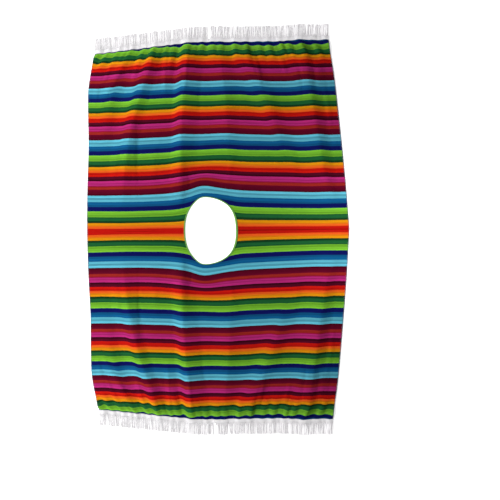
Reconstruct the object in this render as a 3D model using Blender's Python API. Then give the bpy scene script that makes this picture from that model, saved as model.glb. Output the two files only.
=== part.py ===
# A striped serape poncho laid flat on its underside: a back panel and a front panel joined at the
# shoulders, a binding round the neck hole, and two lengths of fringe trim along each end.
# Metres, +Z up. The back hem points to +Y, the front hem to -Y, and the floor is z = 0.

import math
import random
from collections import namedtuple

import bmesh
import bpy
from mathutils import Vector

# Cloth, flat: half its width, and from the shoulder seam to the trim and to its raw end.
HALF_WIDTH = 0.4435
LENGTH_TO_TRIM = 0.668
LENGTH_TO_END = 0.677
CLOTH_THICKNESS = 0.0015
SEAM_GAP = 0.0003

# Cloth as laid: how far its side edges lie left and right of the middle, by the share of the way from the
# shoulder to the trim.
SideRow = namedtuple("SideRow", "share left right")
SIDE_ROWS = (
    SideRow(0.00, 0.4470, 0.4427),
    SideRow(0.10, 0.4464, 0.4382),
    SideRow(0.25, 0.4440, 0.4308),
    SideRow(0.45, 0.4388, 0.4188),
    SideRow(0.65, 0.4390, 0.4062),
    SideRow(0.78, 0.4372, 0.3974),
    SideRow(0.90, 0.4262, 0.3870),
    SideRow(1.00, 0.4136, 0.3790),
)

# The cloth is a little stretched at the shoulders and drawn up towards the trim, most at its left corner
# and least at its right one.
SHOULDER_STRETCH = 1.012
HEM_SHORTENING = 0.056
SHORTENING_POWER = 2.5
LEFT_SHORTENING = 0.0560
LEFT_SHORTENING_FROM = -0.080
LEFT_SHORTENING_TO = -0.400
RIGHT_LENGTHENING = 0.0080
RIGHT_LENGTHENING_FROM = 0.230
RIGHT_LENGTHENING_TO = 0.400

# The neck hole is cut as a circle and pulled into an oval as the garment lies.
NECK_MIDDLE = -0.0262
NECK_CUT_RADIUS = 0.087
NECK_HALF_WIDTH = 0.0867
NECK_HALF_LENGTH = 0.1140
NECK_SQUARENESS = 0.050
NECK_LEAN = 0.016
NECK_LEAN_POWER = 8
NECK_PULL_REACH = 0.220
NECK_RISE = 0.0010
NECK_RISE_FLAT = 0.012
NECK_RISE_FADE = 0.040
NECK_CALM_FROM = 0.006
NECK_CALM_TO = 0.045

# The whole garment lies turned a little on the floor.
LAID_TURN = math.radians(0.67)

# Largest folds. hem, middle and shoulder place the crest across the garment, at the trim, half way and at
# the shoulder; fades is the share of the panel's length, from the shoulder, below which it has gone.
# left and right are its widths each side of the crest, and pull is how far the crest draws the cloth
# towards the hem.
Fold = namedtuple("Fold", "hem middle shoulder fades height left right pull")
FOLDS = (
    Fold(-0.309, -0.381, -0.401, 0.42, 0.0040, 0.050, 0.040, 0.0010),
    Fold(-0.197, -0.306, -0.327, 0.10, 0.0085, 0.060, 0.048, 0.0010),
    Fold(-0.150, -0.190, -0.205, 0.58, 0.0035, 0.026, 0.026, 0.0000),
    Fold(-0.096, -0.123, -0.130, 0.08, 0.0095, 0.034, 0.062, 0.0010),
    Fold(0.002, 0.033, 0.026, 0.22, 0.0050, 0.062, 0.046, 0.0012),
    Fold(0.074, 0.202, 0.277, 0.34, 0.0062, 0.062, 0.030, 0.0000),
    Fold(0.280, 0.331, 0.392, 0.05, 0.0095, 0.082, 0.036, 0.0042),
)
FOLD_RISE_SHARE = 0.34
TRIM_HOLDS_FROM = 0.93
TRIM_HOLDS_FOLDS = 0.62

# Small gathers along the trim, which fan out towards the shoulders.
GATHERS = 21
GATHER_HEIGHT = 0.0036
GATHER_PULL = 0.0016
GATHER_HALF_WIDTH = 0.017
GATHER_REACH = 0.105
GATHER_FAN = 1.3
GATHER_SEED = 7
GATHER_UNEVEN_PLACE = 0.28
GATHER_UNEVEN_REACH = (0.55, 1.25)
GATHER_UNEVEN_HEIGHT = (0.6, 1.1)
GATHER_FULL_SHARE = 0.25
TRIM_HOLDS_GATHERS = 0.55
TRIM_PRESS = 0.045

# Grid of a panel: columns left of the neck square, over it and right of it, and its rows.
NECK_SQUARE = 0.140
COLUMNS_LEFT, COLUMNS_NECK, COLUMNS_RIGHT = 12, 12, 14
ROWS_NECK = 5
ROWS_PLAIN = 7
FINE_FROM = 0.500
FINE_ROWS = (0.535, 0.568, 0.600, 0.630, 0.652, LENGTH_TO_TRIM, LENGTH_TO_END)
NECK_EDGE_ROW = 0.012

# Neck binding: a folded tape whose two legs hold the cloth's edge.
BINDING_WIDTH = 0.0060
BINDING_LEG = 0.0007
BINDING_WEB = 0.0009
BINDING_CHAMFER = 0.0006

# Fringe trim: a woven heading that lies on the cloth's end, and the locks that hang from it.
TRIM_END = LENGTH_TO_TRIM + 0.0125
HEADING_THICKNESS = 0.0012
HEADING_SPLIT = NECK_MIDDLE + 2 * NECK_SQUARE / COLUMNS_NECK
HEADING_SPLIT_GAP = 0.0016
LOCK_SHARE = 0.60
LOCK_LENGTH = 0.0397
LOCK_LENGTH_SPREAD = 0.0025
LOCK_LEAN = 0.0015
LOCK_SEED = 11
# A lock in steps from its root: along its length, share of its lean, its size against the root's, and the
# height of its middle.
LockStep = namedtuple("LockStep", "along lean size height")
LOCK_STEPS = (
    LockStep(0.5, -0.4, 0.92, 0.0013),
    LockStep(1.0, 1.0, 0.62, 0.0010),
)

SLOPE_STEP = 0.0005


def ramp(value, start, end):
    # 0 at start and 1 at end, straight between them.
    return min(1.0, max(0.0, (value - start) / (end - start)))


def rise(value, start, end):
    # 0 at start and 1 at end, smooth at both.
    share = ramp(value, start, end)
    return share * share * (3 - 2 * share)


def crest_at(fold, share):
    # The parabola through the crest's three places.
    bend = 2 * (fold.hem + fold.shoulder - 2 * fold.middle)
    return fold.shoulder + (fold.hem - fold.shoulder - bend) * share + bend * share * share


def ridge(offset, left, right):
    # 1 on the crest, 0 beyond the given widths.
    return 1 - rise(abs(offset) / (left if offset < 0 else right), 0, 1)


def smooth_between(places, values, place):
    # A smooth curve through the values, whose slope at each is that of the line past its neighbours.
    last = len(places) - 1
    low = 0
    while low < last - 1 and places[low + 1] < place:
        low += 1

    def slope(number):
        before, after = max(0, number - 1), min(last, number + 1)
        return (values[after] - values[before]) / (places[after] - places[before])

    width = places[low + 1] - places[low]
    t = (place - places[low]) / width
    start = (1 + 2 * t) * (1 - t) ** 2 * values[low] + t * (1 - t) ** 2 * width * slope(low)
    end = t * t * (3 - 2 * t) * values[low + 1] + t * t * (t - 1) * width * slope(low + 1)
    return start + end


def side_edges(length):
    share = max(0.0, length) / LENGTH_TO_TRIM
    shares = [row.share for row in SIDE_ROWS]
    left = smooth_between(shares, [row.left for row in SIDE_ROWS], share)
    right = smooth_between(shares, [row.right for row in SIDE_ROWS], share)
    return -left, right


def gather_table():
    # Where each gather meets the trim, how far it reaches and how high it stands.
    picker = random.Random(GATHER_SEED)
    left, right = side_edges(LENGTH_TO_TRIM)
    pitch = (right - left) / GATHERS
    rows = []
    for number in range(GATHERS):
        place = left + (number + 0.5 + picker.uniform(-1, 1) * GATHER_UNEVEN_PLACE) * pitch
        reach = GATHER_REACH * picker.uniform(*GATHER_UNEVEN_REACH)
        rows.append((place, reach, GATHER_HEIGHT * picker.uniform(*GATHER_UNEVEN_HEIGHT)))
    return rows


GATHER_TABLE = gather_table()


def folds_at(x, length):
    # Height of the cloth's underside, and its pull towards the hem.
    share = length / LENGTH_TO_TRIM
    held = rise(share, TRIM_HOLDS_FROM, 1)
    height = pull = 0.0
    for fold in FOLDS:
        offset = x - crest_at(fold, share)
        strength = rise(share, fold.fades, fold.fades + FOLD_RISE_SHARE)
        amount = strength * ridge(offset, fold.left, fold.right)
        height += fold.height * amount * (1 - TRIM_HOLDS_FOLDS * held)
        pull += fold.pull * amount
    from_trim = LENGTH_TO_TRIM - length
    press = 1 - TRIM_HOLDS_GATHERS * (1 - rise(from_trim, 0, TRIM_PRESS))
    for place, reach, tall in GATHER_TABLE:
        offset = x - place * (1 + GATHER_FAN * from_trim)
        if abs(offset) < GATHER_HALF_WIDTH and from_trim < reach:
            amount = ridge(offset, GATHER_HALF_WIDTH, GATHER_HALF_WIDTH)
            amount *= 1 - rise(from_trim, reach * GATHER_FULL_SHARE, reach)
            height += tall * amount * press
            pull += GATHER_PULL * amount
    return height, pull


def spread_flat(across, length):
    # The cloth's place before folds lift it and before the neck is pulled open.
    left, right = side_edges(length)
    x = (left + right) / 2 + (right - left) / 2 * across / HALF_WIDTH
    share = max(0.0, length) / LENGTH_TO_TRIM
    shortening = HEM_SHORTENING * share**SHORTENING_POWER
    corners = LEFT_SHORTENING * ramp(x, LEFT_SHORTENING_FROM, LEFT_SHORTENING_TO)
    corners -= RIGHT_LENGTHENING * ramp(x, RIGHT_LENGTHENING_FROM, RIGHT_LENGTHENING_TO)
    return x, SHOULDER_STRETCH * length * (1 - shortening) * (1 - corners)


def neck_oval(angle):
    middle = spread_flat(NECK_MIDDLE, 0)[0]
    wide = NECK_HALF_WIDTH * (1 + NECK_SQUARENESS * math.sin(2 * angle) ** 2)
    x = middle + wide * math.cos(angle) - NECK_LEAN * math.sin(angle) ** NECK_LEAN_POWER
    return x, NECK_HALF_LENGTH * math.sin(angle)


def underside(across, length):
    # Where a point of the flat cloth lies: its underside, on the back half of the garment.
    # Past the trim's inner edge the cloth runs on straight.
    if length > LENGTH_TO_TRIM:
        return underside(across, LENGTH_TO_TRIM) + Vector((0, length - LENGTH_TO_TRIM, 0))
    x, y = spread_flat(across, length)
    height, pull = folds_at(x, length)
    y += pull
    from_neck = math.hypot(across - NECK_MIDDLE, length)
    angle = math.atan2(length, across - NECK_MIDDLE)
    beyond = max(0.0, from_neck - NECK_CUT_RADIUS)
    if beyond < NECK_PULL_REACH:
        cut_x, cut_y = spread_flat(
            NECK_MIDDLE + NECK_CUT_RADIUS * math.cos(angle), NECK_CUT_RADIUS * math.sin(angle)
        )
        oval_x, oval_y = neck_oval(angle)
        share = (1 - beyond / NECK_PULL_REACH) ** 2
        x += (oval_x - cut_x) * share
        y += (oval_y - cut_y) * share
    height *= rise(beyond, NECK_CALM_FROM, NECK_CALM_TO)
    height += NECK_RISE * (1 - rise(beyond, NECK_RISE_FLAT, NECK_RISE_FADE))
    return Vector((x, y + SEAM_GAP / 2, height))


def skin(across, length, lift):
    # A point lifted off the cloth's underside, square to the cloth.
    here = underside(across, length)
    step_across = underside(across + SLOPE_STEP, length) - underside(across - SLOPE_STEP, length)
    near = max(0.0, length - SLOPE_STEP)
    step_along = underside(across, length + SLOPE_STEP) - underside(across, near)
    return here + step_across.cross(step_along).normalized() * lift


def mirrored(point):
    return Vector((point.x, -point.y, point.z))


def panel_grid():
    # The flat cloth of one half as points (across, length) and faces, counter-clockwise from above.
    points = []
    index = {}

    def point(across, length):
        key = (round(across, 6), round(length, 6))
        if key not in index:
            index[key] = len(points)
            points.append((across, length))
        return index[key]

    def split(start, end, parts):
        return [start + (end - start) * i / parts for i in range(parts)]

    square_left, square_right = NECK_MIDDLE - NECK_SQUARE, NECK_MIDDLE + NECK_SQUARE
    columns = split(-HALF_WIDTH, square_left, COLUMNS_LEFT)
    columns += split(square_left, square_right, COLUMNS_NECK)
    columns += split(square_right, HALF_WIDTH, COLUMNS_RIGHT) + [HALF_WIDTH]
    rows = split(0, NECK_SQUARE, ROWS_NECK) + split(NECK_SQUARE, FINE_FROM, ROWS_PLAIN) + [FINE_FROM]
    faces = []

    for low, high in zip(rows, rows[1:]):
        for left, right in zip(columns, columns[1:]):
            middle = (left + right) / 2
            if low < NECK_SQUARE - 1e-6 and square_left < middle < square_right:
                continue
            face = [point(left, low), point(right, low), point(right, high)]
            if high == FINE_FROM:
                face.append(point(middle, high))
            faces.append(face + [point(left, high)])

    fine = sorted(columns + [(left + right) / 2 for left, right in zip(columns, columns[1:])])
    for low, high in zip((FINE_FROM,) + FINE_ROWS, FINE_ROWS):
        for left, right in zip(fine, fine[1:]):
            faces.append([point(left, low), point(right, low), point(right, high), point(left, high)])

    # Cells that fan out from the neck's cut edge to the square round it.
    over = [c for c in columns if square_left - 1e-6 < c < square_right + 1e-6]
    up = rows[: ROWS_NECK + 1]
    border = [(square_right, row) for row in up] + [(c, NECK_SQUARE) for c in reversed(over[1:-1])]
    border += [(square_left, row) for row in reversed(up)]
    spokes = []
    for across, length in border:
        angle = math.atan2(length, across - NECK_MIDDLE)
        far = math.hypot(across - NECK_MIDDLE, length)
        near = NECK_CUT_RADIUS + NECK_EDGE_ROW
        radii = (NECK_CUT_RADIUS, near, (near + far) / 2)
        spoke = [point(NECK_MIDDLE + r * math.cos(angle), r * math.sin(angle)) for r in radii]
        spokes.append(spoke + [point(across, length)])
    for one, two in zip(spokes, spokes[1:]):
        for inner in range(len(one) - 1):
            faces.append([one[inner], one[inner + 1], two[inner + 1], two[inner]])
    neck_edge = [points[spoke[0]] for spoke in spokes]
    neck_second = [points[spoke[1]] for spoke in spokes]
    return points, faces, fine, neck_edge, neck_second


def closed_wall(mesh, low, high, faces):
    # Joins an underside and an upper side that share their faces into one closed wall.
    built = bmesh.new()
    under = [built.verts.new(p) for p in low]
    upper = [built.verts.new(p) for p in high]
    uses = {}
    for face in faces:
        built.faces.new([upper[i] for i in face])
        built.faces.new([under[i] for i in reversed(face)])
        for a, b in zip(face, face[1:] + face[:1]):
            uses[(a, b)] = True
    for a, b in uses:
        if (b, a) not in uses:
            built.faces.new([under[a], under[b], upper[b], upper[a]])
    built.to_mesh(mesh)
    built.free()


def material(name, colour, roughness):
    made = bpy.data.materials.new(name)
    made.use_nodes = True
    shader = made.node_tree.nodes["Principled BSDF"]
    shader.inputs["Base Color"].default_value = (*colour, 1)
    shader.inputs["Roughness"].default_value = roughness
    shader.inputs["Metallic"].default_value = 0.0
    return made


def add_object(name, mesh, finish, parent, smooth=True):
    made = bpy.data.objects.new(name, mesh)
    bpy.context.scene.collection.objects.link(made)
    mesh.materials.append(finish)
    if smooth:
        mesh.shade_smooth()
        mesh.set_sharp_from_angle(angle=math.radians(50))
    made.parent = parent
    return made


def make_panel(name, side, grid, finish, parent):
    points, faces = grid[0], grid[1]
    low = [side(skin(across, length, 0)) for across, length in points]
    high = [side(skin(across, length, CLOTH_THICKNESS)) for across, length in points]
    turned = [list(reversed(face)) for face in faces] if side is mirrored else faces
    mesh = bpy.data.meshes.new(name)
    closed_wall(mesh, low, high, turned)
    return add_object(name, mesh, finish, parent)


def binding_section():
    # The folded tape cut across, from its leg above the cloth round the edge to its leg below.
    # First number: distance onto the cloth. Second: height from the middle of the cloth.
    inner = CLOTH_THICKNESS / 2 + SEAM_GAP
    outer = inner + BINDING_LEG
    web = SEAM_GAP + BINDING_WEB
    return (
        (BINDING_WIDTH, inner),
        (BINDING_WIDTH, outer),
        (BINDING_CHAMFER - web, outer),
        (-web, outer - BINDING_CHAMFER),
        (-web, BINDING_CHAMFER - outer),
        (BINDING_CHAMFER - web, -outer),
        (BINDING_WIDTH, -outer),
        (BINDING_WIDTH, -inner),
        (-SEAM_GAP, -inner),
        (-SEAM_GAP, inner),
    )


def make_binding(grid, finish, parent):
    neck_edge, neck_second = grid[3], grid[4]
    half = CLOTH_THICKNESS / 2
    stations = []
    for edge, second in zip(neck_edge, neck_second):
        low, top = skin(*edge, 0), skin(*edge, CLOTH_THICKNESS)
        onto = (skin(*second, half) - (low + top) / 2).normalized()
        up = (top - low).normalized()
        ring = [(low + top) / 2 + onto * along + up * rise_by for along, rise_by in binding_section()]
        stations.append(ring)
    for ring in (stations[0], stations[-1]):
        for corner in ring:
            corner.y = 0
    rings = stations + [[mirrored(corner) for corner in ring] for ring in reversed(stations[1:-1])]
    built = bmesh.new()
    rows = [[built.verts.new(corner) for corner in ring] for ring in rings]
    for one, two in zip(rows, rows[1:] + rows[:1]):
        for i in range(len(one)):
            j = (i + 1) % len(one)
            built.faces.new([one[i], one[j], two[j], two[i]])
    bmesh.ops.recalc_face_normals(built, faces=built.faces)
    mesh = bpy.data.meshes.new("neck_binding")
    built.to_mesh(mesh)
    built.free()
    return add_object("neck_binding", mesh, finish, parent)


def heading_stations(fine, on_left):
    # Each cell of the cloth's grid under the trim carries one lock and one gap.
    # A station is its cell's two columns, its share between them, and whether a lock starts there.
    if on_left:
        columns = [c for c in fine if c < HEADING_SPLIT + 1e-6]
        shares = (LOCK_SHARE, True, False)
    else:
        columns = [c for c in fine if c > HEADING_SPLIT - 1e-6]
        shares = (1 - LOCK_SHARE, False, True)
    middle_share, first_lock, second_lock = shares
    stations = []
    for left, right in zip(columns, columns[1:]):
        stations.append((left, right, 0.0, first_lock))
        stations.append((left, right, middle_share, second_lock))
    stations.append((columns[-2], columns[-1], 1.0, False))
    trim_back = HEADING_SPLIT_GAP / 2 / (columns[1] - columns[0])
    if on_left:
        left, right, share, lock = stations[-1]
        stations[-1] = (left, right, share - trim_back, lock)
    else:
        left, right, share, lock = stations[0]
        stations[0] = (left, right, share + trim_back, lock)
    return stations


def heading_point(station, length, lift):
    left, right, share, _ = station
    return skin(left, length, lift).lerp(skin(right, length, lift), share)


def hang_lock(built, root, picker, outwards):
    # Extrudes a lock from its root, the corners low left, low right, high right and high left in the
    # heading's outer edge: out and down to the floor, narrowing to its tip.
    length = LOCK_LENGTH + picker.uniform(-1, 1) * LOCK_LENGTH_SPREAD
    lean = picker.uniform(-1, 1) * LOCK_LEAN
    middle = sum((corner.co for corner in root), Vector()) / len(root)
    sides = [corner.co.x - middle.x for corner in root]
    thick = HEADING_THICKNESS / 2
    ring = root
    for step in LOCK_STEPS:
        place = Vector((middle.x + lean * step.lean, middle.y + outwards * length * step.along, step.height))
        corners = []
        for sideways, up in zip(sides, (-thick, -thick, thick, thick)):
            corners.append(built.verts.new(place + Vector((sideways, 0, up)) * step.size))
        for i, corner in enumerate(ring):
            j = (i + 1) % len(ring)
            built.faces.new([corner, ring[j], corners[j], corners[i]])
        ring = corners
    built.faces.new(ring)


def make_fringe(name, side, on_left, grid, finish, parent, seed):
    picker = random.Random(seed)
    stations = heading_stations(grid[2], on_left)
    outwards = -1 if side is mirrored else 1
    low = CLOTH_THICKNESS + SEAM_GAP
    high = low + HEADING_THICKNESS
    outline = ((LENGTH_TO_TRIM, low), (TRIM_END, low), (TRIM_END, high), (LENGTH_TO_TRIM, high))
    built = bmesh.new()
    rows = []
    for station in stations:
        rows.append([built.verts.new(side(heading_point(station, *corner))) for corner in outline])
    for number, (one, two) in enumerate(zip(rows, rows[1:])):
        for i in range(4):
            j = (i + 1) % 4
            if i == 1 and stations[number][3]:
                hang_lock(built, [one[i], two[i], two[j], one[j]], picker, outwards)
                continue
            built.faces.new([one[i], two[i], two[j], one[j]])
    built.faces.new(rows[0])
    built.faces.new(rows[-1])
    bmesh.ops.recalc_face_normals(built, faces=built.faces)
    mesh = bpy.data.meshes.new(name)
    built.to_mesh(mesh)
    built.free()
    return add_object(name, mesh, finish, parent, smooth=False)


def centre_on_floor(garment, pieces):
    # Moves the garment so that its outline is centred on the origin.
    garment.rotation_euler.z = LAID_TURN
    bpy.context.view_layer.update()
    places = [piece.matrix_world @ v.co for piece in pieces for v in piece.data.vertices]
    garment.location.x = -(min(p.x for p in places) + max(p.x for p in places)) / 2
    garment.location.y = -(min(p.y for p in places) + max(p.y for p in places)) / 2


def build():
    for old in list(bpy.data.objects):
        bpy.data.objects.remove(old)
    garment = bpy.data.objects.new("garment", None)
    bpy.context.scene.collection.objects.link(garment)
    cloth = material("striped_cloth", (0.42, 0.13, 0.12), 0.72)
    binding = material("green_binding", (0.16, 0.48, 0.09), 0.75)
    cotton = material("white_trim", (0.86, 0.85, 0.84), 0.9)
    grid = panel_grid()
    same = Vector
    pieces = [
        make_panel("back_panel", same, grid, cloth, garment),
        make_panel("front_panel", mirrored, grid, cloth, garment),
        make_binding(grid, binding, garment),
        make_fringe("back_fringe_left", same, True, grid, cotton, garment, LOCK_SEED),
        make_fringe("back_fringe_right", same, False, grid, cotton, garment, LOCK_SEED + 1),
        make_fringe("front_fringe_left", mirrored, True, grid, cotton, garment, LOCK_SEED + 2),
        make_fringe("front_fringe_right", mirrored, False, grid, cotton, garment, LOCK_SEED + 3),
    ]
    centre_on_floor(garment, pieces)


build()
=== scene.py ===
import math
import random

import bmesh
import bpy
import numpy as np
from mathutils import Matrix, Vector


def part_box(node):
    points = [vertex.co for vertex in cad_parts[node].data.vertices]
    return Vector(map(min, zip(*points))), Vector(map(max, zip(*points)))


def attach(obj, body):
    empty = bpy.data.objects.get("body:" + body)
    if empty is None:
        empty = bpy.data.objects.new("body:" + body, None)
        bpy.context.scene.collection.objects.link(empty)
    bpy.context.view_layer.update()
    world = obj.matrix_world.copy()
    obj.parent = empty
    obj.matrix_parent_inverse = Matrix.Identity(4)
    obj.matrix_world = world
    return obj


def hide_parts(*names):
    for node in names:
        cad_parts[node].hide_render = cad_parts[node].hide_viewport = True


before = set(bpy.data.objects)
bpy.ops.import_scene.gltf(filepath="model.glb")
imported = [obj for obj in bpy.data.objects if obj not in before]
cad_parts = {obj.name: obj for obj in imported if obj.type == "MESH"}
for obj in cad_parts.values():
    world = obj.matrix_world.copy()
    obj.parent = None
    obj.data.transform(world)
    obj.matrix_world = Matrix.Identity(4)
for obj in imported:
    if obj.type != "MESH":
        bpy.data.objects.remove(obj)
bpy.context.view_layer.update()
print("frame loaded:", ", ".join(sorted(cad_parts)))

# The cut cloth of one half, in metres: across is measured from its middle line, along from the shoulder.
cloth = dict(
    halfWidth=0.4435,
    lengthToTrim=0.668,
    lengthToEnd=0.677,
    thickness=0.0015,
    seamGap=0.00001,
    solidSeamGap=0.0003,
    columnsLeft=104,
    columnsNeck=60,
    columnsRight=112,
    rows=166,
    hemCrowding=1.35,  # over 1 sets the rows closer towards the hem
    shoulderRows=(0.0, 0.0012, 0.003, 0.006),  # first rows, as shares of the length
)

# How the cloth lies: where its side edges are, and where it is stretched or drawn up.
# Each row of sides is the share of the way to the trim, then how far the left and right edges lie out.
laid = dict(
    turn=math.radians(0.67),
    sides=[
        (0.00, 0.4470, 0.4427),
        (0.10, 0.4464, 0.4382),
        (0.25, 0.4440, 0.4308),
        (0.45, 0.4388, 0.4188),
        (0.65, 0.4390, 0.4062),
        (0.78, 0.4372, 0.3974),
        (0.90, 0.4262, 0.3870),
        (1.00, 0.4136, 0.3790),
    ],
    shoulderStretch=1.012,
    hemShortening=0.056,
    shorteningPower=2.5,
    leftShortening=(0.0560, -0.080, -0.400),  # share, from, to
    rightLengthening=(0.0080, 0.230, 0.400),
)

neck = dict(
    middle=-0.0262,
    cutRadius=0.087,
    halfWidth=0.0867,
    halfLength=0.1140,
    squareness=0.050,
    lean=0.016,
    leanPower=8,
    pullReach=0.220,
    rise=0.0010,
    riseFlat=0.012,
    riseFade=0.040,
    calmFrom=0.006,
    calmTo=0.045,
)

# Largest folds: crest at the hem, half way and at the shoulder, share of the length where it fades,
# height, width to the left and to the right, pull towards the hem.
mainFolds = [
    (-0.300, -0.388, -0.401, 0.42, 0.0040, 0.050, 0.034, 0.0010),
    (-0.197, -0.299, -0.327, 0.06, 0.0085, 0.060, 0.040, 0.0010),
    (-0.150, -0.190, -0.205, 0.58, 0.0035, 0.026, 0.026, 0.0000),
    (-0.096, -0.123, -0.130, 0.06, 0.0095, 0.040, 0.062, 0.0010),
    (0.002, 0.033, 0.026, 0.22, 0.0045, 0.062, 0.046, 0.0012),
    (0.074, 0.202, 0.277, 0.34, 0.0060, 0.062, 0.042, 0.0000),
    (0.289, 0.335, 0.392, 0.05, 0.0095, 0.084, 0.044, 0.0042),
]
foldRiseShare = 0.34
sharpness = dict(share=0.55, power=1.6, tip=0.08)  # how far a large fold's crest is sharper than a wave's
trimHolds = dict(foldsFrom=0.93, folds=0.62, gathers=0.55, press=0.045)

# Gathers along the trim. The first row is the solid's own, the second is finer and lies between them.
# The free pull bows the bands between the gathers and ends at the trim, which holds the cloth.
gathers = [
    dict(seed=7, count=21, height=0.0036, pull=0.0016, freePull=0.0024, halfWidth=0.017, reach=0.105,
         fan=1.3, unevenPlace=0.28, unevenReach=(0.55, 1.25), unevenHeight=(0.6, 1.1), fullShare=0.25,
         rightShare=1.0),
    dict(seed=23, count=40, height=0.0024, pull=0.0, freePull=0.0021, halfWidth=0.0098, reach=0.075,
         fan=2.0, unevenPlace=0.34, unevenReach=(0.5, 1.30), unevenHeight=(0.35, 1.1), fullShare=0.30,
         rightShare=0.45),
]
freePullFrom = 0.014
freePullPower = 0.6
fineLeftOf = (-0.10, -0.26)  # where the finer gathers grow to their full size, going left

# Creases listed one by one on the laid cloth: from (x, y) outwards to (x, y), height, width to the left and
# to the right, and how far the crease bows to the left, as a share of its length. Under zero is a trough.
handCreases = [
    (-0.130, 0.040, -0.124, 0.300, 0.0036, 0.060, 0.026, 0.00),
    (-0.101, 0.205, -0.092, 0.120, -0.0018, 0.024, 0.016, 0.05),
    (-0.205, 0.190, -0.112, 0.095, 0.0011, 0.021, 0.014, 0.05),
    (-0.250, 0.118, -0.124, 0.062, 0.0009, 0.020, 0.013, 0.05),
    (0.030, 0.122, 0.064, 0.300, 0.0010, 0.018, 0.016, 0.03),
    (0.050, 0.098, 0.135, 0.205, 0.0010, 0.016, 0.018, 0.05),
    (0.072, 0.060, 0.200, 0.110, 0.0008, 0.016, 0.020, 0.05),
    (-0.286, 0.060, -0.283, 0.420, 0.0022, 0.050, 0.014, 0.00),
    (-0.420, 0.385, -0.268, 0.630, 0.0026, 0.026, 0.015, 0.02),
    (-0.290, 0.470, -0.250, 0.610, 0.0016, 0.014, 0.010, 0.03),
    (-0.178, 0.450, -0.166, 0.620, 0.0018, 0.016, 0.008, 0.02),
    (-0.112, 0.455, -0.096, 0.630, 0.0012, 0.010, 0.009, 0.00),
    (-0.056, 0.360, -0.042, 0.560, -0.0013, 0.018, 0.012, 0.03),
    (-0.415, 0.400, -0.385, 0.540, 0.0012, 0.015, 0.010, 0.05),
    (-0.350, 0.590, -0.402, 0.480, 0.0018, 0.012, 0.009, 0.04),
    (0.150, 0.480, 0.120, 0.610, 0.0016, 0.013, 0.009, -0.04),
    (0.205, 0.375, 0.150, 0.545, 0.0018, 0.024, 0.030, -0.04),
    (0.236, 0.500, 0.205, 0.620, 0.0017, 0.016, 0.011, -0.04),
    (0.292, 0.430, 0.262, 0.610, -0.0014, 0.013, 0.010, -0.04),
    (0.352, 0.420, 0.330, 0.635, 0.0030, 0.018, 0.028, -0.02),
    (0.384, 0.300, 0.352, 0.520, 0.0013, 0.016, 0.012, -0.04),
    (-0.352, 0.120, -0.330, 0.330, 0.0014, 0.030, 0.016, 0.04),
    (-0.215, 0.120, -0.205, 0.330, 0.0010, 0.025, 0.018, 0.04),
    (0.262, 0.120, 0.240, 0.320, 0.0010, 0.025, 0.018, -0.04),
    (0.405, 0.060, 0.330, 0.250, 0.0010, 0.024, 0.016, -0.04),
]

creasesEndBefore = 0.05  # the trim holds the cloth flat over its last stretch
creaseTaper = 1.4  # over 1 draws a crease's ends out finer

# Broad low waves over the whole half, as in cloth that has been folded away.
waves = dict(height=0.0011, pitch=0.152, lean=0.10, phase=1.1, fadeFrom=0.10, fadeTo=0.45)


def rampTo(value, start, end):
    return np.clip((value - start) / (end - start), 0, 1)


def smoothTo(value, start, end):
    share = rampTo(value, start, end)
    return share * share * (3 - 2 * share)


def ridge(offset, left, right):
    return 1 - smoothTo(np.abs(offset) / np.where(offset < 0, left, right), 0, 1)


def crested(offset, left, right):
    reach = np.minimum(1, np.abs(offset) / np.where(offset < 0, left, right))
    rounded = np.sqrt(reach**2 + sharpness["tip"] ** 2) - sharpness["tip"]
    pointed = np.maximum(0, 1 - rounded * (1 + sharpness["tip"])) ** sharpness["power"]
    return sharpness["share"] * pointed + (1 - sharpness["share"]) * ridge(offset, left, right)


def smoothBetween(places, values, place):
    # A smooth curve through the values, whose slope at each is that of the line past its neighbours.
    places, values = np.asarray(places), np.asarray(values)
    before = np.maximum(np.arange(len(places)) - 1, 0)
    after = np.minimum(np.arange(len(places)) + 1, len(places) - 1)
    slope = (values[after] - values[before]) / (places[after] - places[before])
    low = np.clip(np.searchsorted(places, place, side="left") - 1, 0, len(places) - 2)
    width = places[low + 1] - places[low]
    t = (place - places[low]) / width
    start = (1 + 2 * t) * (1 - t) ** 2 * values[low] + t * (1 - t) ** 2 * width * slope[low]
    return start + t * t * (3 - 2 * t) * values[low + 1] + t * t * (t - 1) * width * slope[low + 1]


def sideEdges(along):
    shares, lefts, rights = zip(*laid["sides"])
    share = np.maximum(0, along) / cloth["lengthToTrim"]
    return -smoothBetween(shares, lefts, share), smoothBetween(shares, rights, share)


def gatherRows(look):
    picker = random.Random(look["seed"])
    left, right = sideEdges(cloth["lengthToTrim"])
    pitch = (right - left) / look["count"]
    rows = []
    for number in range(look["count"]):
        place = left + (number + 0.5 + picker.uniform(-1, 1) * look["unevenPlace"]) * pitch
        reach = look["reach"] * picker.uniform(*look["unevenReach"])
        rows.append((place, reach, look["height"] * picker.uniform(*look["unevenHeight"])))
    return rows


gatherTables = [gatherRows(look) for look in gathers]


def crestAt(hem, middle, shoulder, share):
    # A crest's place across: a curve through its three places, by the share of the way to the hem.
    bend = 2 * (hem + shoulder - 2 * middle)
    return shoulder + (hem - shoulder - bend) * share + bend * share * share


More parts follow.
